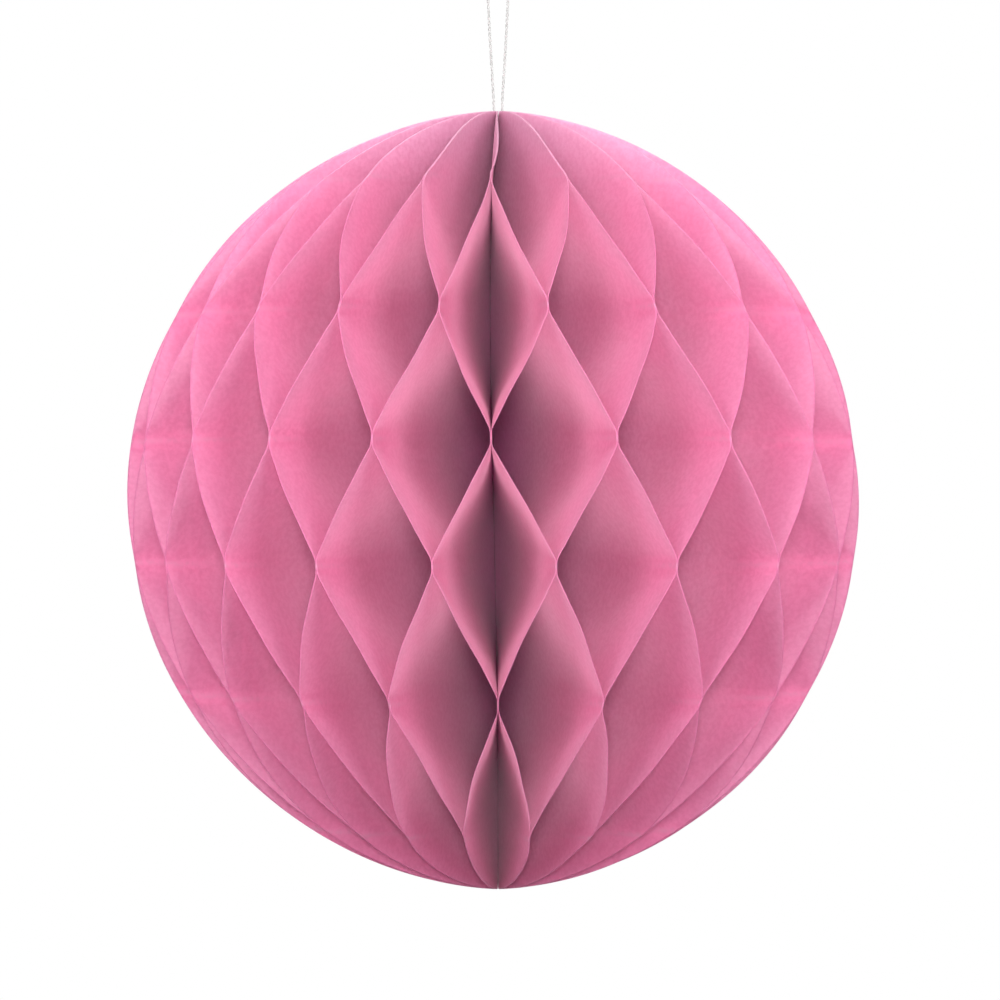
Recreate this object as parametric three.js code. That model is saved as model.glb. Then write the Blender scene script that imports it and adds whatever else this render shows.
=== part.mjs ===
// A honeycomb ball of tissue paper, opened right round and hung on its thread.
// Half-round leaves are bound along one upright spine. Each is pasted to its neighbours on level
// strips, in turn to the one side and to the other, so the opened leaves stand apart as cells.
// Millimetres, +Z up along the spine, -Y to the front, origin at the middle of the ball.

import * as THREE from 'three';

// Leaf: a sheet cut to a circular arc, with its straight edge along the spine.
const leafCount = 38;
const spineLength = 200;
const leafDepth = 93.8;
const leafThickness = 0.16;
const leafTipWidth = 1.2;
const rimSteps = 20;

// Paste: level strips at an even pitch, a little below the middle of the leaf.
const pasteRowPitch = 32;
const pasteRowDrop = 1.2;
const pasteStripHeight = 3.6;
const pasteGap = 0.14;

// Opening: how far the leaves stand from an even spacing round the spine.
const openingLean = THREE.MathUtils.degToRad(6.6);
const openingCrowding = THREE.MathUtils.degToRad(-1.5);

// End cards: stiff half-rounds that close the ring where the first and the last leaf meet.
const cardThickness = 0.4;
const cardMargin = 2;
const cardArcSegments = 16;

// Spine thread and hanging loop.
const spineClearance = 0.3;
const spineEndRecess = 1;
const spineSides = 16;
const loopThreadDiameter = 0.7;
const loopThreadSides = 8;
const loopSteps = 48;

// One side of the loop: half the space between its two strands, and the height above its seat.
const loopStrand = [
  [1.05, 0],
  [1.15, 4],
  [1.45, 9],
  [1.75, 14],
  [2.05, 19],
  [2.3, 24],
  [2.55, 29],
  [2.6, 34],
  [1.85, 37.6],
];
const loopHeight = 39.2;

const tissuePink = 0xe879a8;
const cardPink = 0xe48cb2;
const threadWhite = 0xf2f1ee;

// The rim's arc passes through both ends of the spine, and its centre lies behind the spine.
const arcRadius = (leafDepth ** 2 + (spineLength / 2) ** 2) / (2 * leafDepth);
const arcSetback = arcRadius - leafDepth;

function rimRadius(z) {
  return Math.sqrt(arcRadius ** 2 - z ** 2) - arcSetback;
}

function rimHeight(radius) {
  return Math.sqrt(arcRadius ** 2 - (radius + arcSetback) ** 2);
}

// Neighbouring leaves meet on upright planes through the spine, counted from the seam at the back.
function planeAngle(plane) {
  const even = (2 * plane / leafCount - 1) * Math.PI;
  return even + openingLean * (1 - Math.cos(even)) + openingCrowding * Math.sin(even);
}

function outward(angle) {
  return new THREE.Vector3(Math.sin(angle), -Math.cos(angle), 0);
}

function sideways(angle) {
  return new THREE.Vector3(Math.cos(angle), Math.sin(angle), 0);
}

// Close to the spine the leaves lie against each other, and that sets the bore between them.
const leafNumbers = Array.from({ length: leafCount }, (_, leaf) => leaf);
const leafPitch = leafThickness + pasteGap;
const leafSpread = (leaf) => planeAngle(leaf + 1) - planeAngle(leaf);
const boreRadius = leafPitch / Math.min(...leafNumbers.map(leafSpread));
const spineRadius = boreRadius - spineClearance;

// Every second paste row joins the leaves on the planes of one kind, and the rows between on the other.
const highestRow = rimHeight(boreRadius + leafTipWidth) - 2 * pasteStripHeight;
const rowHeight = (row) => pasteRowPitch * (row + 0.5) - pasteRowDrop;
const firstRow = Math.ceil((pasteRowDrop - highestRow) / pasteRowPitch - 0.5);
const lastRow = Math.floor((pasteRowDrop + highestRow) / pasteRowPitch - 0.5);
const pasteRows = Array.from({ length: lastRow - firstRow + 1 }, (_, i) => firstRow + i);
const frontPlane = Math.floor(leafCount / 2);

// 0 where a leaf is pasted on an even row and 1 on an odd row, straight between the strips.
// Past the last row at each end the leaf runs on upright, pasted edge above pasted edge.
function foldAcross(z) {
  const row = THREE.MathUtils.clamp((z + pasteRowDrop) / pasteRowPitch - 0.5, firstRow, lastRow);
  const wave = Math.abs(row - 2 * Math.round(row / 2));
  const flat = pasteStripHeight / (2 * pasteRowPitch);
  return THREE.MathUtils.clamp((wave - flat) / (1 - 2 * flat), 0, 1);
}

// The heights where a leaf has points: both edges of each strip, and steps round the rim between them.
function leafLevels(tip) {
  const strips = pasteRows.flatMap((row) => [
    rowHeight(row) - pasteStripHeight / 2,
    rowHeight(row) + pasteStripHeight / 2,
  ]);
  const halfTurn = Math.asin(tip / arcRadius);
  const rim = Array.from({ length: rimSteps + 1 }, (_, i) => (
    arcRadius * Math.sin(halfTurn * (2 * i / rimSteps - 1))
  ));
  const clear = rim.filter((z) => strips.every((edge) => Math.abs(edge - z) > pasteStripHeight / 2));
  return [...strips, ...clear].sort((a, b) => a - b);
}

// How far the middle of a leaf stands from the plane on its side: half a gap, or past an end card.
function standOff(besideCard) {
  const layers = besideCard ? cardThickness + pasteGap : 0;
  return pasteGap / 2 + layers + leafThickness / 2;
}

// A leaf is a thin folded sheet, straight from spine to rim at every height.
function leafGeometry(leaf) {
  const from = planeAngle(leaf);
  const to = planeAngle(leaf + 1);
  const fromStandOff = standOff(leaf === 0);
  const toStandOff = standOff(leaf === leafCount - 1);
  const innerRadius = Math.max(boreRadius, (fromStandOff + toStandOff) / (to - from));
  const halfThickness = sideways((from + to) / 2).multiplyScalar(leafThickness / 2);
  const startsOnEvenRows = (leaf - frontPlane) % 2 === 0;
  const points = [];
  const levels = leafLevels(rimHeight(innerRadius + leafTipWidth));
  for (const z of levels) {
    const across = startsOnEvenRows ? foldAcross(z) : 1 - foldAcross(z);
    for (const radius of [innerRadius, rimRadius(z)]) {
      const start = outward(from).multiplyScalar(radius).addScaledVector(sideways(from), fromStandOff);
      const end = outward(to).multiplyScalar(radius).addScaledVector(sideways(to), -toStandOff);
      const middle = start.lerp(end, across).setZ(z);
      points.push(middle.clone().sub(halfThickness), middle.clone().add(halfThickness));
    }
  }
  return new THREE.BufferGeometry().setFromPoints(points).setIndex(sheetFaces(levels.length));
}

// Faces of a closed sheet with four points a level: inner edge and rim, each on both sides.
function sheetFaces(levelCount) {
  const quad = (a, b, c, d) => [a, b, c, a, c, d];
  const top = 4 * (levelCount - 1);
  const faces = [...quad(0, 1, 3, 2), ...quad(top, top + 2, top + 3, top + 1)];
  for (let low = 0; low < top; low += 4) {
    const high = low + 4;
    faces.push(
      ...quad(low, low + 2, high + 2, high),
      ...quad(high + 3, low + 3, low + 1, high + 1),
      ...quad(low + 2, low + 3, high + 3, high + 2),
      ...quad(low + 1, low, high, high + 1),
    );
  }
  return faces;
}

// An end card is the leaf's outline drawn in by its margin, flat and clear of the leaves by the spine.
function cardGeometry(spread) {
  const innerRadius = (pasteGap + cardThickness) / spread;
  const radius = arcRadius - cardMargin;
  const halfTurn = Math.acos((innerRadius + arcSetback) / radius);
  const outline = new THREE.Shape().absarc(-arcSetback, 0, radius, -halfTurn, halfTurn);
  return new THREE.ExtrudeGeometry(outline, {
    depth: cardThickness,
    bevelEnabled: false,
    curveSegments: cardArcSegments,
  });
}

// The loop's thread rises from the spine's top, bends over and comes back down beside itself.
function loopGeometry() {
  const seat = spineLength / 2 - spineEndRecess + spineClearance;
  const left = loopStrand.map(([half, height]) => new THREE.Vector3(-half, 0, seat + height));
  const bend = new THREE.Vector3(0, 0, seat + loopHeight);
  const right = loopStrand.map(([half, height]) => new THREE.Vector3(half, 0, seat + height));
  const route = new THREE.CatmullRomCurve3([...left, bend, ...right.reverse()]);
  const section = new THREE.Shape().absarc(0, 0, loopThreadDiameter / 2, 0, 2 * Math.PI);
  return new THREE.ExtrudeGeometry(section, {
    steps: loopSteps,
    extrudePath: route,
    curveSegments: loopThreadSides / 2,
  });
}

function piece(name, geometry, color, roughness) {
  const material = new THREE.MeshStandardMaterial({ color, roughness, metalness: 0 });
  const mesh = new THREE.Mesh(geometry, material);
  mesh.name = name;
  return mesh;
}

// A card stands upright on its plane, with its thickness to the one side or the other.
function endCard(name, plane, leaf, side) {
  const card = piece(name, cardGeometry(leafSpread(leaf)), cardPink, 0.8);
  card.rotation.x = Math.PI / 2;
  card.position.y = side + cardThickness / 2;
  const upright = new THREE.Group();
  upright.rotation.z = planeAngle(plane) - Math.PI / 2;
  upright.add(card);
  return upright;
}

const ball = new THREE.Group();

for (const leaf of leafNumbers) {
  const name = `leaf_${String(leaf + 1).padStart(2, '0')}`;
  ball.add(piece(name, leafGeometry(leaf), tissuePink, 0.9));
}

const cardStandOff = (pasteGap + cardThickness) / 2;
ball.add(endCard('end_card_first', 0, 0, cardStandOff));
ball.add(endCard('end_card_last', leafCount, leafCount - 1, -cardStandOff));

const spineRun = spineLength - 2 * spineEndRecess;
const spine = piece(
  'spine_thread',
  new THREE.CylinderGeometry(spineRadius, spineRadius, spineRun, spineSides),
  threadWhite,
  0.85,
);
spine.rotation.x = Math.PI / 2;
ball.add(spine);

ball.add(piece('hanging_loop', loopGeometry(), threadWhite, 0.85));

export default ball;
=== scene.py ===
"""A honeycomb ball of pink tissue paper, opened right round and hung on its thread."""

import functools
import math
import random

import bmesh
import bpy
from mathutils import Matrix, Vector


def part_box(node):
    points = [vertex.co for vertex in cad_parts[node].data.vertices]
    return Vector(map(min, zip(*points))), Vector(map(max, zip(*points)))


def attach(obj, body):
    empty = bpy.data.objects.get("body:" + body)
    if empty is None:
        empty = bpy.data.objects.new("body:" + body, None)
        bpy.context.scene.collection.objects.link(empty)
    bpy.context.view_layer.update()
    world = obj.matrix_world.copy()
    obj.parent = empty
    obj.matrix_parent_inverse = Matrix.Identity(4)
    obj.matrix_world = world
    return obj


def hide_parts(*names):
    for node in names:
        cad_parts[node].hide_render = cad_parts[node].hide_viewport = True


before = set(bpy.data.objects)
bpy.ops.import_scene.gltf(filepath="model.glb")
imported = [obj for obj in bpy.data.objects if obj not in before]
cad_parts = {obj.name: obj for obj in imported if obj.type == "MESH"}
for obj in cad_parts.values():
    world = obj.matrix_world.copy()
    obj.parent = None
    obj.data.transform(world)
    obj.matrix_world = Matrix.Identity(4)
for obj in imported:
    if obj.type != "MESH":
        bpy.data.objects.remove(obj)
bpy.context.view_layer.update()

scene = bpy.context.scene


# Camera
# It stands level with the middle of the ball and far off, so that the ball looks nearly flat on.
# Its aim passes a little to the right of the poles.
BALL_HEIGHT = 0.2
PICTURE_SIDE_PX = 1000
BALL_HEIGHT_PX = 778
POLES_PX = 498
CAMERA_DISTANCE = 1.15
SENSOR_MM = 36

metres_per_pixel = BALL_HEIGHT / BALL_HEIGHT_PX
camera_data = bpy.data.cameras.new("camera")
camera_data.sensor_width = SENSOR_MM
camera_data.lens = SENSOR_MM * CAMERA_DISTANCE / (PICTURE_SIDE_PX * metres_per_pixel)
camera = bpy.data.objects.new("camera", camera_data)
aim_right = (PICTURE_SIDE_PX / 2 - POLES_PX) * metres_per_pixel
camera.location = (aim_right, -CAMERA_DISTANCE, 0)
camera.rotation_euler = (math.pi / 2, 0, 0)
scene.collection.objects.link(camera)
scene.camera = camera


# Hanging loop
# White cotton thread, two plies twisted together. It leaves the spine's top end, bends over in a
# narrow loop that goes on a hook, and comes back down beside itself.
THREAD_DIAMETER = 0.0007
THREAD_PLIES = 2
THREAD_TWIST = 0.0029
PLY_SHARE = 0.29
PLY_BEVEL = 2
LOOP_HEIGHT = 0.0392
LOOP_STRAND = [
    (0.00105, 0.0),
    (0.00115, 0.004),
    (0.00145, 0.009),
    (0.00175, 0.014),
    (0.00205, 0.019),
    (0.0023, 0.024),
    (0.00255, 0.029),
    (0.0026, 0.034),
    (0.00185, 0.0376),
]
LOOP_STEPS = 24
COTTON_WHITE = (0.5, 0.497, 0.49, 1)
COTTON_SHADE = (0.38, 0.377, 0.37, 1)


def smooth_route(corners, steps):
    """Points of a smooth curve through the corners, with so many steps between two of them."""
    route = []
    ends = [2 * corners[0] - corners[1], *corners, 2 * corners[-1] - corners[-2]]
    for before, start, end, after in zip(ends, ends[1:], ends[2:], ends[3:]):
        for step in range(steps):
            t = step / steps
            bend = (end - before) * t + (2 * before - 5 * start + 4 * end - after) * t ** 2
            route.append(start + (bend + (3 * start - before - 3 * end + after) * t ** 3) / 2)
    return [*route, corners[-1]]


def wind_plies(curve, route, diameter, plies, twist, beside):
    """Adds a thread's plies to a curve, wound round the route; beside is never along the route."""
    wound_radius = diameter * (0.5 - PLY_SHARE)
    for ply in range(plies):
        spline = curve.splines.new("POLY")
        spline.points.add(len(route) - 1)
        run = 0.0
        for index, point in enumerate(route):
            behind = route[max(index - 1, 0)]
            ahead = route[min(index + 1, len(route) - 1)]
            along = (ahead - behind).normalized()
            run += (point - behind).length
            turn = 2 * math.pi * (run / twist + ply / plies)
            side = along.cross(beside).normalized()
            across = side * math.cos(turn) + along.cross(side) * math.sin(turn)
            spline.points[index].co = (*(point + wound_radius * across), 1)
            spline.points[index].radius = PLY_SHARE * diameter


def thread_curve(name):
    curve = bpy.data.curves.new(name, "CURVE")
    curve.dimensions = "3D"
    curve.bevel_depth = 1
    curve.bevel_resolution = PLY_BEVEL
    curve.use_fill_caps = True
    return curve


def thread_piece(name, curve):
    """The wound plies as one mesh with smooth sides."""
    outline = bpy.data.objects.new(name, curve)
    mesh = bpy.data.meshes.new_from_object(outline)
    mesh.name = name
    bpy.data.objects.remove(outline)
    bpy.data.curves.remove(curve)
    for polygon in mesh.polygons:
        polygon.use_smooth = True
    piece = bpy.data.objects.new(name, mesh)
    scene.collection.objects.link(piece)
    return piece


def fibre_group():
    """Short fibres: a fine uneven height, and soft blotches of light and dark between 0 and 1."""
    group = bpy.data.node_groups.new("fibres", "ShaderNodeTree")
    group.interface.new_socket("Vector", in_out="INPUT", socket_type="NodeSocketVector")
    group.interface.new_socket("Fine Scale", in_out="INPUT", socket_type="NodeSocketFloat")
    group.interface.new_socket("Blotch Scale", in_out="INPUT", socket_type="NodeSocketFloat")
    group.interface.new_socket("Height", in_out="OUTPUT", socket_type="NodeSocketFloat")
    group.interface.new_socket("Blotch", in_out="OUTPUT", socket_type="NodeSocketFloat")
    nodes, links = group.nodes, group.links
    entry = nodes.new("NodeGroupInput")
    leave = nodes.new("NodeGroupOutput")
    fine = nodes.new("ShaderNodeTexNoise")
    fine.inputs["Detail"].default_value = 1
    fine.inputs["Roughness"].default_value = 0.65
    blotch = nodes.new("ShaderNodeTexNoise")
    blotch.inputs["Detail"].default_value = 2
    blotch.inputs["Roughness"].default_value = 0.6
    contrast = nodes.new("ShaderNodeMapRange")
    contrast.interpolation_type = "SMOOTHSTEP"
    contrast.inputs["From Min"].default_value = 0.3
    contrast.inputs["From Max"].default_value = 0.7
    links.new(entry.outputs["Vector"], fine.inputs["Vector"])
    links.new(entry.outputs["Fine Scale"], fine.inputs["Scale"])
    links.new(entry.outputs["Vector"], blotch.inputs["Vector"])
    links.new(entry.outputs["Blotch Scale"], blotch.inputs["Scale"])
    links.new(blotch.outputs["Fac"], contrast.inputs["Value"])
    links.new(fine.outputs["Fac"], leave.inputs["Height"])
    links.new(contrast.outputs["Result"], leave.inputs["Blotch"])
    return group


fibres = fibre_group()


def cotton_material():
    """Matt white cotton, a little darker where its fibres lie close."""
    material = bpy.data.materials.new("cotton_thread")
    material.use_nodes = True
    nodes, links = material.node_tree.nodes, material.node_tree.links
    shader = nodes["Principled BSDF"]
    shader.inputs["Roughness"].default_value = 0.85
    shader.inputs["Sheen Weight"].default_value = 0.2
    place = nodes.new("ShaderNodeTexCoord")
    fibre = nodes.new("ShaderNodeGroup")
    fibre.node_tree = fibres
    fibre.inputs["Fine Scale"].default_value = 9000
    fibre.inputs["Blotch Scale"].default_value = 2500
    tint = nodes.new("ShaderNodeMix")
    tint.data_type = "RGBA"
    tint.inputs["A"].default_value = COTTON_SHADE
    tint.inputs["B"].default_value = COTTON_WHITE
    bump = nodes.new("ShaderNodeBump")
    bump.inputs["Strength"].default_value = 0.5
    bump.inputs["Distance"].default_value = 0.0001
    links.new(place.outputs["Object"], fibre.inputs["Vector"])
    links.new(fibre.outputs["Blotch"], tint.inputs["Factor"])
    links.new(tint.outputs["Result"], shader.inputs["Base Color"])
    links.new(fibre.outputs["Height"], bump.inputs["Height"])
    links.new(bump.outputs["Normal"], shader.inputs["Normal"])
    return material


cotton = cotton_material()
loop_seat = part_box("hanging_loop")[0].z
left_strand = [Vector((-half, 0, loop_seat + height)) for half, height in LOOP_STRAND]
right_strand = [Vector((half, 0, loop_seat + height)) for half, height in reversed(LOOP_STRAND)]
loop_bend = Vector((0, 0, loop_seat + LOOP_HEIGHT))
loop_route = smooth_route([*left_strand, loop_bend, *right_strand], LOOP_STEPS)
loop_curve = thread_curve("thread_loop")
wind_plies(loop_curve, loop_route, THREAD_DIAMETER, THREAD_PLIES, THREAD_TWIST, Vector((0, 1, 0)))
loop = thread_piece("thread_loop", loop_curve)
loop.data.materials.append(cotton)
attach(loop, "root")
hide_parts("hanging_loop")


# Spine thread
# Three-ply cotton down the middle of the ball, on which the leaves are bound by their straight edges.
# At each pole a few turns of the loop's own thread are whipped round its end.
SPINE_DIAMETER = 0.0012
SPINE_PLIES = 3
SPINE_TWIST = 0.0046
SPINE_STEP = 0.0004
WHIPPING_TURNS = 2.5
WHIPPING_STEPS = 60
SPINE_BOW = 0.0048
RIM_BOW = 0.0013
RIM_REACH = 0.094


def bowed(point):
    """The ball hangs a little bent: the spine bows to the left in its upper half, and the rim less."""
    upward = 2 * point.z / BALL_HEIGHT
    reach = math.hypot(point.x, point.y) / RIM_REACH
    spine_bow = SPINE_BOW * ((1 + upward) / 2) ** 2
    bow = spine_bow + (RIM_BOW - spine_bow) * reach
    return point - Vector((bow * (1 - upward ** 2), 0, 0))


spine_low, spine_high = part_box("spine_thread")
spine_steps = round((spine_high.z - spine_low.z) / SPINE_STEP)
spine_route = [
    bowed(Vector((0, 0, spine_low.z + (spine_high.z - spine_low.z) * step / spine_steps)))
    for step in range(spine_steps + 1)
]
spine_curve = thread_curve("spine_binding")
wind_plies(spine_curve, spine_route, SPINE_DIAMETER, SPINE_PLIES, SPINE_TWIST, Vector((0, 1, 0)))
whipping_radius = (SPINE_DIAMETER + THREAD_DIAMETER) / 2
for end, inward in ((spine_high.z, -1), (spine_low.z, 1)):
    whipping = []
    for step in range(WHIPPING_STEPS + 1):
        turns = WHIPPING_TURNS * step / WHIPPING_STEPS
        height = end + inward * THREAD_DIAMETER * (0.5 + turns)
        angle = 2 * math.pi * turns
        ring = Vector((whipping_radius * math.cos(angle), whipping_radius * math.sin(angle), height))
        whipping.append(bowed(ring))
    wind_plies(spine_curve, whipping, THREAD_DIAMETER, THREAD_PLIES, THREAD_TWIST, Vector((0, 0, 1)))
spine = thread_piece("spine_binding", spine_curve)
spine.data.materials.append(cotton)
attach(spine, "root")
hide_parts("spine_thread")


# Tissue leaves
# Half-round sheets die-cut from dyed tissue paper, bound along the spine. Each is pasted to its
# neighbours on level strips, in turn on the one side and on the other, and folds across between them.
LEAF_COUNT = 38
LEAF_DEPTH = 0.0938
LEAF_TIP = 0.0012
LEAF_BORE = 0.00075
CARD_LEAF_BORE = 0.004
END_BORE = 0.00145
END_BORE_DEPTH = 0.003
TISSUE = 0.0001
PASTE_HEIGHTS = (-0.0837, -0.0492, -0.0158, 0.0148, 0.0468, 0.0803)
PASTE_STRIP = 0.0036
PASTE_GAP = 0.00014
CARD_LAYER = 0.00054
FOLD_ROUNDING = 0.0004
FOLD_STEPS = (-2, -1, 0, 1, 2)
FLARE_DEPTH = 0.024
OPENING_LEAN = math.radians(6.6)
OPENING_CROWDING = math.radians(-1.5)
FRONT_TWIST = math.radians(-12)
FRONT_CURL = math.radians(2)
JOINT_WANDER = math.radians(0.4)
END_CURL = math.radians(2)
EDGE_WAVE = 0.00013
EDGE_WAVE_LENGTHS = (0.019, 0.031)
LEAF_SEED = 38
LEAF_STEPS_OUT = 20
LEVEL_TURN = math.radians(1.4)
TISSUE_PASSES = 0.7
TISSUE_PALER = 0.3
# The tissue's pink by depth in from the rim, in metres: the dye's pink with painted light and shade. The
# darker stop on the cut edge is painted shade that dims the edge's bright line. The paler stops deeper in
# are painted light that lifts the dark inside the cells, and the last stop by the spine is painted darker
# again.
TISSUE_PINKS_AND_DEPTH_SHADE = (
    (0.0, (0.9, 0.24, 0.5, 1)),
    (0.0005, (0.975, 0.38, 0.61, 1)),
    (0.008, (0.975, 0.37, 0.6, 1)),
    (0.022, (0.975, 0.475, 0.67, 1)),
    (0.055, (0.985, 0.53, 0.72, 1)),
    (0.086, (0.985, 0.35, 0.69, 1)),
)
TISSUE_GRAIN = (0.885, 0.78, 0.83, 1)
PASTE_PALE = (0.97, 0.62, 0.78, 1)
PASTE_SHOWS = 0.6
PASTE_LINE = 0.0011
PASTE_REACH = 0.02
# Painted light: between these heights the pink turns paler towards the top of the ball, standing in for the
# light from above.
PAINTED_TOP_LIGHT_PINK = (0.985, 0.57, 0.76, 1)
PAINTED_TOP_LIGHT_FROM = 0.068
PAINTED_TOP_LIGHT_FULLY = 0.096

arc_radius = (LEAF_DEPTH ** 2 + (BALL_HEIGHT / 2) ** 2) / (2 * LEAF_DEPTH)
arc_setback = arc_radius - LEAF_DEPTH
front_plane = LEAF_COUNT // 2
paste_rows = range(len(PASTE_HEIGHTS))
chance = random.Random(LEAF_SEED)
joint_wander = {
    (plane, row): JOINT_WANDER * chance.uniform(-1, 1)
    for plane in range(LEAF_COUNT + 1)
    for row in paste_rows
}
end_curl = [END_CURL * chance.uniform(-1, 1) for plane in range(LEAF_COUNT + 1)]
end_curl[front_plane] = FRONT_CURL
wave_start = [
    [chance.uniform(0, 2 * math.pi) for wave in EDGE_WAVE_LENGTHS]
    for leaf in range(LEAF_COUNT)
]


@functools.cache
def rows_passed(z):
    """How many paste rows lie below a height, with the share of the way from there to the next one."""
    passed = 0.0
    for low, high in zip(PASTE_HEIGHTS, PASTE_HEIGHTS[1:]):
        share = (z - low - PASTE_STRIP / 2) / (high - low - PASTE_STRIP)
        passed += min(max(share, 0), 1)
    return passed


def rim_radius(z):
    return math.sqrt(arc_radius ** 2 - z ** 2) - arc_setback


def plane_angle(plane):
    """The angle round the spine of the upright plane on which two leaves meet, 0 at the front."""
    even = (2 * plane / LEAF_COUNT - 1) * math.pi
    return even + OPENING_LEAN * (1 - math.cos(even)) + OPENING_CROWDING * math.sin(even)


def joined_angle(plane, z, reach):
    """The plane's angle at a height: it wanders from joint to joint, and curls past a closed end."""
    if plane in (0, LEAF_COUNT):
        return plane_angle(plane)
    rows = [row for row in paste_rows if (row - plane + front_plane) % 2 == 1]
    place = min(max((rows_passed(z) - rows[0]) / 2, 0), len(rows) - 1)
    below = min(int(place), len(rows) - 2)
    share = place - below
    wander = joint_wander[plane, rows[below]] * (1 - share) + joint_wander[plane, rows[below + 1]] * share
    closed_above = rows[-1] == paste_rows[-1]
    closed_from = PASTE_HEIGHTS[-1] if closed_above else -PASTE_HEIGHTS[0]
    past = max((z if closed_above else -z) - closed_from, 0) / (BALL_HEIGHT / 2 - closed_from)
    curl = end_curl[plane] * 4 * past * (1 - past) * reach ** 3
    twist = FRONT_TWIST * z if plane == front_plane else 0
    return plane_angle(plane) + twist + wander + curl


def fold_across(plane, z):
    """0 where the leaf after this plane lies on it, and 1 where it lies on the next one."""
    place = rows_passed(z) + front_plane - plane + 1
    return abs(place - 2 * round(place / 2))


@functools.cache
def rounded_fold(plane, z):
    nearby = [fold_across(plane, z + step * FOLD_ROUNDING) for step in FOLD_STEPS]
    return sum(nearby) / len(nearby)


def leaf_point(plane, flat):
    """Where a point of the flat sheet goes when it is folded: flat has its distance from the spine,
    its place in the sheet's thickness and its height. The fold is sharp at the rim and soft inside."""
    radius, depth, z = flat
    reach = radius / rim_radius(z)
    start = joined_angle(plane, z, reach)
    end = joined_angle(plane + 1, z, reach)
    width = radius * (end - start)
    start_room = (PASTE_GAP + TISSUE) / 2 + (CARD_LAYER if plane == 0 else 0)
    end_room = (PASTE_GAP + TISSUE) / 2 + (CARD_LAYER if plane == LEAF_COUNT - 1 else 0)
    crowding = max(1, (start_room + end_room) / width)
    fold = rounded_fold(plane, z)
    inside = min((rim_radius(z) - radius) / FLARE_DEPTH, 1)
    fold += (fold ** 2 * (3 - 2 * fold) - fold) * inside
    across = start_room / crowding + (width - (start_room + end_room) / crowding) * fold
    for length, phase in zip(EDGE_WAVE_LENGTHS, wave_start[plane]):
        free = 4 * fold * (1 - fold) * reach ** 2
        across += EDGE_WAVE * free * math.sin(2 * math.pi * z / length + phase)
    angle = start + across / radius
    outward = Vector((math.sin(angle), -math.cos(angle), 0))
    sideways = Vector((math.cos(angle), math.sin(angle), 0))
    return bowed(radius * outward + depth * sideways + Vector((0, 0, z)))


def leaf_levels(tip):
    """Heights of the rows of points on a leaf, closer together at the folds beside a paste strip."""
    marks = [-tip, tip]
    for height in PASTE_HEIGHTS:
        for side in (-1, 1):
            fold_height = height + side * PASTE_STRIP / 2
            marks += [fold_height + step * FOLD_ROUNDING for step in FOLD_STEPS]
        marks.append(height)
    turns = [math.asin(mark / arc_radius) for mark in sorted(marks)]
    levels = []
    for low, high in zip(turns, turns[1:]):
        steps = max(1, round((high - low) / LEVEL_TURN))
        levels += [arc_radius * math.sin(low + (high - low) * step / steps) for step in range(steps)]
    return [*levels, tip]


def inner_radius(plane, z, tip):
    """The leaf's bound edge, drawn back at both poles to make room for the thread's whipping."""
    bore = CARD_LEAF_BORE if plane in (0, LEAF_COUNT - 1) else LEAF_BORE
    into_end = min(max(1 - (tip - abs(z)) / END_BORE_DEPTH, 0), 1)
    return max(bore, LEAF_BORE + (END_BORE - LEAF_BORE) * into_end)


def tissue_leaf(plane):
    """One leaf, cut flat to its half-round, given its thickness and then folded into place."""
    end_bore = CARD_LEAF_BORE if plane in (0, LEAF_COUNT - 1) else END_BORE
    tip = math.sqrt(arc_radius ** 2 - (end_bore + LEAF_TIP + arc_setback) ** 2)
    levels = leaf_levels(tip)
    form = bmesh.new()
    from_rim = form.verts.layers.float.new("from_rim")
    from_paste = form.verts.layers.float.new("from_paste")
    bmesh.ops.create_grid(form, x_segments=LEAF_STEPS_OUT, y_segments=len(levels) - 1, size=0.5)
    for vert in form.verts:
        z = levels[round((vert.co.y + 0.5) * (len(levels) - 1))]
        inner = inner_radius(plane, z, tip)
        vert[from_rim] = (rim_radius(z) - inner) * (0.5 - 0.5 * math.sin(math.pi * vert.co.x))
        vert[from_paste] = min(abs(z - height) for height in PASTE_HEIGHTS)
        vert.co = (rim_radius(z) - vert[from_rim], -TISSUE / 2, z)
    grown = bmesh.ops.extrude_face_region(form, geom=form.faces[:], use_keep_orig=True)
    far_points = [item for item in grown["geom"] if isinstance(item, bmesh.types.BMVert)]
    bmesh.ops.translate(form, verts=far_points, vec=(0, TISSUE, 0))
    bmesh.ops.recalc_face_normals(form, faces=form.faces)
    for face in form.faces:
        face.smooth = abs(face.normal.y) > 0.5
    for vert in form.verts:
        vert.co = leaf_point(plane, vert.co)
    name = f"tissue_leaf_{plane + 1:02d}"
    mesh = bpy.data.meshes.new(name)
    form.to_mesh(mesh)
    form.free()
    leaf = bpy.data.objects.new(name, mesh)
    scene.collection.objects.link(leaf)
    return leaf


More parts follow.
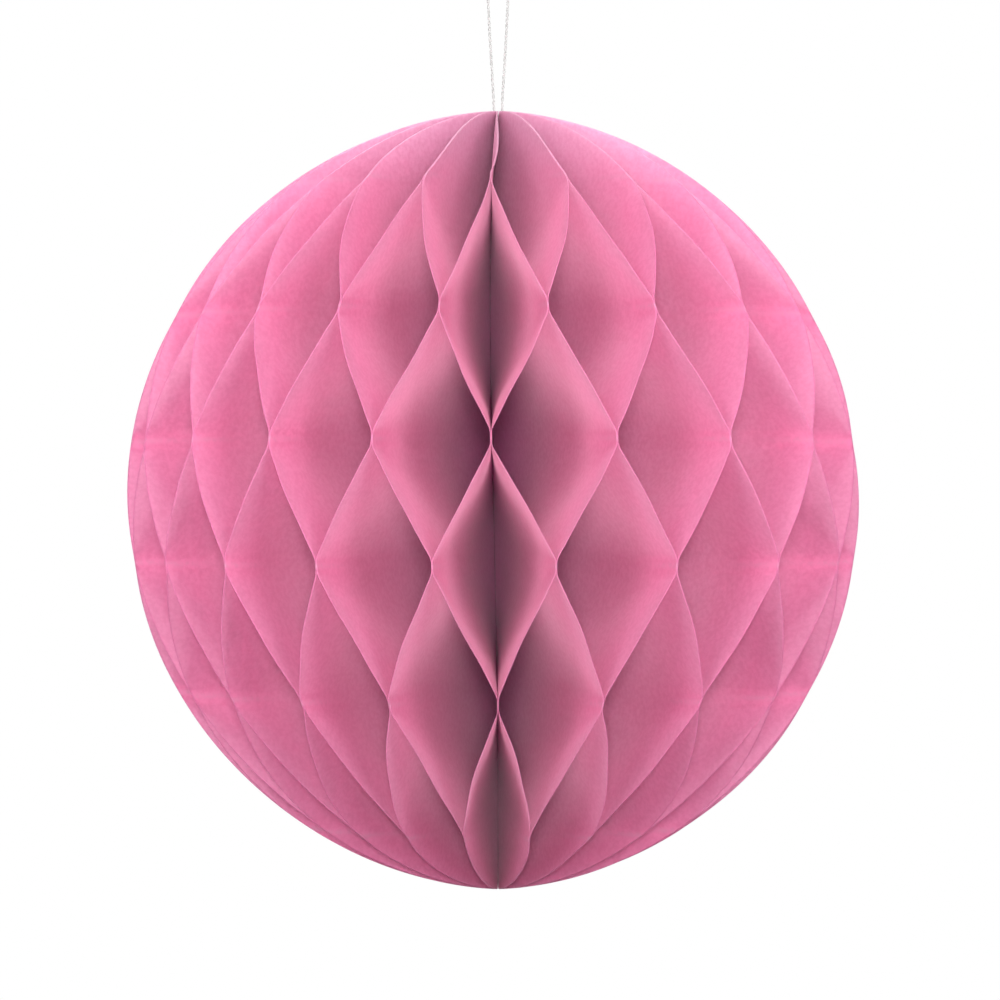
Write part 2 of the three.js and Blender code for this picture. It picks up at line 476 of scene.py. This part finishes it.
def tissue_material():
    """Thin dyed tissue that passes light: fine fibres, soft blotches, near the rim a faint paler line
    where the paste has dried along each row, painted light and shade by depth from the rim, and painted
    light paling it round the top."""
    material = bpy.data.materials.new("pink_tissue")
    material.use_nodes = True
    nodes, links = material.node_tree.nodes, material.node_tree.links
    shader = nodes["Principled BSDF"]
    shader.inputs["Roughness"].default_value = 0.8
    shader.inputs["Specular IOR Level"].default_value = 0.25
    shader.inputs["Sheen Weight"].default_value = 0.25
    through = nodes.new("ShaderNodeBsdfTranslucent")
    pale = nodes.new("ShaderNodeGamma")
    pale.inputs["Gamma"].default_value = TISSUE_PALER
    sheet = nodes.new("ShaderNodeMixShader")
    sheet.inputs["Fac"].default_value = TISSUE_PASSES
    place = nodes.new("ShaderNodeTexCoord")
    fibre = nodes.new("ShaderNodeGroup")
    fibre.node_tree = fibres
    fibre.inputs["Fine Scale"].default_value = 1800
    fibre.inputs["Blotch Scale"].default_value = 900
    rim = nodes.new("ShaderNodeAttribute")
    rim.attribute_name = "from_rim"
    depth = nodes.new("ShaderNodeMapRange")
    depth.inputs["From Max"].default_value = LEAF_DEPTH
    # A ramp of the dye's pink with painted light and shade, by depth in from the rim.
    depth_shade_ramp = nodes.new("ShaderNodeValToRGB")
    for place_in, pink in TISSUE_PINKS_AND_DEPTH_SHADE[2:]:
        depth_shade_ramp.color_ramp.elements.new(place_in / LEAF_DEPTH)
    for stop, (place_in, pink) in zip(depth_shade_ramp.color_ramp.elements, TISSUE_PINKS_AND_DEPTH_SHADE):
        stop.position = place_in / LEAF_DEPTH
        stop.color = pink
    row = nodes.new("ShaderNodeAttribute")
    row.attribute_name = "from_paste"
    line = nodes.new("ShaderNodeMapRange")
    line.interpolation_type = "SMOOTHSTEP"
    line.inputs["From Max"].default_value = PASTE_LINE
    line.inputs["To Min"].default_value = PASTE_SHOWS
    line.inputs["To Max"].default_value = 0
    fade = nodes.new("ShaderNodeMapRange")
    fade.interpolation_type = "SMOOTHSTEP"
    fade.inputs["From Max"].default_value = PASTE_REACH
    fade.inputs["To Min"].default_value = 1
    fade.inputs["To Max"].default_value = 0
    patchy = nodes.new("ShaderNodeMath")
    patchy.operation = "MULTIPLY"
    dried = nodes.new("ShaderNodeMath")
    dried.operation = "MULTIPLY"
    pasted = nodes.new("ShaderNodeMix")
    pasted.data_type = "RGBA"
    pasted.inputs["B"].default_value = PASTE_PALE
    # Painted light: the pink is mixed paler towards the top, by height.
    height = nodes.new("ShaderNodeSeparateXYZ")
    top = nodes.new("ShaderNodeMapRange")
    top.interpolation_type = "SMOOTHSTEP"
    top.inputs["From Min"].default_value = PAINTED_TOP_LIGHT_FROM
    top.inputs["From Max"].default_value = PAINTED_TOP_LIGHT_FULLY
    painted_top_light = nodes.new("ShaderNodeMix")
    painted_top_light.data_type = "RGBA"
    painted_top_light.inputs["B"].default_value = PAINTED_TOP_LIGHT_PINK
    mottle = nodes.new("ShaderNodeMix")
    mottle.data_type = "RGBA"
    mottle.blend_type = "MULTIPLY"
    mottle.inputs["B"].default_value = TISSUE_GRAIN
    bump = nodes.new("ShaderNodeBump")
    bump.inputs["Strength"].default_value = 0.25
    bump.inputs["Distance"].default_value = 0.0001
    links.new(place.outputs["Object"], fibre.inputs["Vector"])
    links.new(rim.outputs["Fac"], depth.inputs["Value"])
    links.new(depth.outputs["Result"], depth_shade_ramp.inputs["Fac"])
    links.new(row.outputs["Fac"], line.inputs["Value"])
    links.new(rim.outputs["Fac"], fade.inputs["Value"])
    links.new(line.outputs["Result"], patchy.inputs[0])
    links.new(fade.outputs["Result"], patchy.inputs[1])
    links.new(patchy.outputs["Value"], dried.inputs[0])
    links.new(fibre.outputs["Blotch"], dried.inputs[1])
    links.new(dried.outputs["Value"], pasted.inputs["Factor"])
    links.new(place.outputs["Object"], height.inputs["Vector"])
    links.new(height.outputs["Z"], top.inputs["Value"])
    links.new(top.outputs["Result"], painted_top_light.inputs["Factor"])
    links.new(depth_shade_ramp.outputs["Color"], painted_top_light.inputs["A"])
    links.new(painted_top_light.outputs["Result"], pasted.inputs["A"])
    links.new(fibre.outputs["Blotch"], mottle.inputs["Factor"])
    links.new(pasted.outputs["Result"], mottle.inputs["A"])
    links.new(mottle.outputs["Result"], shader.inputs["Base Color"])
    links.new(mottle.outputs["Result"], pale.inputs["Color"])
    links.new(pale.outputs["Color"], through.inputs["Color"])
    links.new(fibre.outputs["Height"], bump.inputs["Height"])
    links.new(bump.outputs["Normal"], shader.inputs["Normal"])
    links.new(shader.outputs["BSDF"], sheet.inputs[1])
    links.new(through.outputs["BSDF"], sheet.inputs[2])
    links.new(sheet.outputs["Shader"], nodes["Material Output"].inputs["Surface"])
    return material


tissue = tissue_material()
for plane in range(LEAF_COUNT):
    leaf = tissue_leaf(plane)
    leaf.data.materials.append(tissue)
    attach(leaf, "root")
    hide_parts(f"leaf_{plane + 1:02d}")


# End cards
# Two half-rounds die-cut from pink card, a little smaller than the leaves. The first and the last leaf
# are pasted on them, and they lie back to back where the ring of leaves is closed.
CARD_THICKNESS = 0.0004
CARD_MARGIN = 0.002
CARD_INSIDE = 0.0033
CARD_SEGMENTS = 192
CARD_CUTS = 24
CARD_EDGE_ROUND = 0.0001
CARD_PINK = (0.78, 0.26, 0.44, 1)
CARD_SHADE = (0.7, 0.21, 0.38, 1)


def card_piece(name, plane, side):
    """A card on the one side of its plane: a disc cut off beside the spine, given its thickness."""
    form = bmesh.new()
    bmesh.ops.create_circle(
        form, cap_ends=True, segments=CARD_SEGMENTS, radius=arc_radius - CARD_MARGIN,
        matrix=Matrix.Translation((-arc_setback, 0, 0)) @ Matrix.Rotation(math.pi / 2, 4, "X"),
    )
    everything = [*form.verts, *form.edges, *form.faces]
    bmesh.ops.bisect_plane(
        form, geom=everything, plane_co=(CARD_INSIDE, 0, 0), plane_no=(1, 0, 0), clear_inner=True,
    )
    for cut in range(1, CARD_CUTS):
        level = (cut / CARD_CUTS - 0.5) * BALL_HEIGHT
        everything = [*form.verts, *form.edges, *form.faces]
        bmesh.ops.bisect_plane(form, geom=everything, plane_co=(0, 0, level), plane_no=(0, 0, 1))
    near = side * PASTE_GAP / 2
    grown = bmesh.ops.extrude_face_region(form, geom=form.faces[:], use_keep_orig=True)
    far_points = [item for item in grown["geom"] if isinstance(item, bmesh.types.BMVert)]
    bmesh.ops.translate(form, verts=form.verts, vec=(0, near, 0))
    bmesh.ops.translate(form, verts=far_points, vec=(0, side * CARD_THICKNESS, 0))
    bmesh.ops.recalc_face_normals(form, faces=form.faces)
    sharp = [edge for edge in form.edges if edge.calc_face_angle(0) > 1]
    bmesh.ops.bevel(
        form, geom=sharp, offset=CARD_EDGE_ROUND, segments=2, profile=0.5, affect="EDGES", material=-1,
    )
    turn = Matrix.Rotation(plane_angle(plane) - math.pi / 2, 4, "Z")
    bmesh.ops.transform(form, matrix=turn, verts=form.verts)
    for vert in form.verts:
        vert.co = bowed(vert.co)
    mesh = bpy.data.meshes.new(name)
    form.to_mesh(mesh)
    form.free()
    card = bpy.data.objects.new(name, mesh)
    scene.collection.objects.link(card)
    return card


def card_material():
    """Dyed card: matt, with the mottled grain of pressed pulp."""
    material = bpy.data.materials.new("pink_card")
    material.use_nodes = True
    nodes, links = material.node_tree.nodes, material.node_tree.links
    shader = nodes["Principled BSDF"]
    shader.inputs["Roughness"].default_value = 0.75
    shader.inputs["Specular IOR Level"].default_value = 0.35
    place = nodes.new("ShaderNodeTexCoord")
    fibre = nodes.new("ShaderNodeGroup")
    fibre.node_tree = fibres
    fibre.inputs["Fine Scale"].default_value = 2600
    fibre.inputs["Blotch Scale"].default_value = 420
    tint = nodes.new("ShaderNodeMix")
    tint.data_type = "RGBA"
    tint.inputs["A"].default_value = CARD_SHADE
    tint.inputs["B"].default_value = CARD_PINK
    bump = nodes.new("ShaderNodeBump")
    bump.inputs["Strength"].default_value = 0.3
    bump.inputs["Distance"].default_value = 0.0001
    links.new(place.outputs["Object"], fibre.inputs["Vector"])
    links.new(fibre.outputs["Blotch"], tint.inputs["Factor"])
    links.new(tint.outputs["Result"], shader.inputs["Base Color"])
    links.new(fibre.outputs["Height"], bump.inputs["Height"])
    links.new(bump.outputs["Normal"], shader.inputs["Normal"])
    return material


card_paper = card_material()
for name, node, plane, side in (
    ("first_card", "end_card_first", 0, 1),
    ("last_card", "end_card_last", LEAF_COUNT, -1),
):
    card = card_piece(name, plane, side)
    card.data.materials.append(card_paper)
    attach(card, "root")
    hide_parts(node)


# Light and floor
# A plain white studio: a small lamp by the camera, a wide soft one on either hand, an upper pair, one
# overhead, and behind the ball a high one and a weaker pair. The floor is a pale disc well below it.
LAMP_DISTANCE = 1.7
LAMPS = (
    ("camera_lamp", 0, 3, 0.25, 19.5),
    ("left_lamp", -38, 4, 0.75, 8),
    ("right_lamp", 38, 4, 0.75, 8),
    ("upper_left_lamp", -30, 28, 0.7, 13.5),
    ("upper_right_lamp", 30, 28, 0.7, 13.5),
    ("overhead_lamp", 0, 80, 1.0, 9),
    ("high_back_lamp", 180, 42, 1.2, 14),
    ("back_left_lamp", -140, 4, 0.8, 9),
    ("back_right_lamp", 140, 4, 0.8, 9),
)
ROOM_LIGHT = 0.045
SHEET_BOUNCES = 8
FLOOR_DROP = 0.42
FLOOR_RADIUS = 1.7
FLOOR_SEGMENTS = 96
FLOOR_WHITE = (0.9, 0.9, 0.9, 1)
FLOOR_BOUNCE = (0.1, 0.1, 0.1, 1)


def soft_lamp(name, around, up, size, watts):
    """A square lamp aimed at the ball, so many degrees round from the camera and up from level."""
    lamp = bpy.data.lights.new(name, "AREA")
    lamp.energy = watts
    lamp.size = size
    holder = bpy.data.objects.new(name, lamp)
    away = Vector((0, -LAMP_DISTANCE, 0))
    away.rotate(Matrix.Rotation(math.radians(-up), 3, "X"))
    away.rotate(Matrix.Rotation(math.radians(around), 3, "Z"))
    holder.location = away
    holder.rotation_euler = (-away).to_track_quat("-Z", "Y").to_euler()
    holder.visible_camera = False
    scene.collection.objects.link(holder)


for lamp in LAMPS:
    soft_lamp(*lamp)
# The light goes through several sheets before it leaves a cell.
scene.cycles.diffuse_bounces = SHEET_BOUNCES
scene.cycles.max_bounces = SHEET_BOUNCES


def white_room():
    """White where the camera looks past the ball, also through or off a shiny thing, and dim to the ball."""
    world = bpy.data.worlds.new("room")
    world.use_nodes = True
    scene.world = world
    nodes, links = world.node_tree.nodes, world.node_tree.links
    seen = nodes["Background"]
    seen.inputs["Color"].default_value = (1, 1, 1, 1)
    seen.inputs["Strength"].default_value = 1
    lit = nodes.new("ShaderNodeBackground")
    lit.inputs["Color"].default_value = (1, 1, 1, 1)
    lit.inputs["Strength"].default_value = ROOM_LIGHT
    path = nodes.new("ShaderNodeLightPath")
    clear = nodes.new("ShaderNodeMath")
    clear.operation = "SUBTRACT"
    clear.use_clamp = True
    mirrored = nodes.new("ShaderNodeMath")
    mirrored.operation = "MAXIMUM"
    plain = nodes.new("ShaderNodeMath")
    plain.operation = "MAXIMUM"
    choose = nodes.new("ShaderNodeMixShader")
    links.new(path.outputs["Is Transmission Ray"], clear.inputs[0])
    links.new(path.outputs["Is Diffuse Ray"], clear.inputs[1])
    links.new(path.outputs["Is Glossy Ray"], mirrored.inputs[0])
    links.new(clear.outputs["Value"], mirrored.inputs[1])
    links.new(path.outputs["Is Camera Ray"], plain.inputs[0])
    links.new(mirrored.outputs["Value"], plain.inputs[1])
    links.new(plain.outputs["Value"], choose.inputs["Fac"])
    links.new(lit.outputs["Background"], choose.inputs[1])
    links.new(seen.outputs["Background"], choose.inputs[2])
    links.new(choose.outputs["Shader"], nodes["World Output"].inputs["Surface"])


white_room()


def floor_material():
    """White to the camera, and greyer to other light, so that little comes back up at the ball."""
    material = bpy.data.materials.new("floor_paint")
    material.use_nodes = True
    nodes, links = material.node_tree.nodes, material.node_tree.links
    shader = nodes["Principled BSDF"]
    shader.inputs["Roughness"].default_value = 0.9
    path = nodes.new("ShaderNodeLightPath")
    tint = nodes.new("ShaderNodeMix")
    tint.data_type = "RGBA"
    tint.inputs["A"].default_value = FLOOR_BOUNCE
    tint.inputs["B"].default_value = FLOOR_WHITE
    links.new(path.outputs["Is Camera Ray"], tint.inputs["Factor"])
    links.new(tint.outputs["Result"], shader.inputs["Base Color"])
    return material


floor_form = bmesh.new()
bmesh.ops.create_circle(floor_form, cap_ends=True, segments=FLOOR_SEGMENTS, radius=FLOOR_RADIUS)
bmesh.ops.translate(floor_form, verts=floor_form.verts, vec=(0, 0, -FLOOR_DROP))
floor_mesh = bpy.data.meshes.new("floor")
floor_form.to_mesh(floor_mesh)
floor_form.free()
floor_mesh.materials.append(floor_material())
floor = bpy.data.objects.new("floor", floor_mesh)
scene.collection.objects.link(floor)

scene.view_settings.view_transform = "Standard"
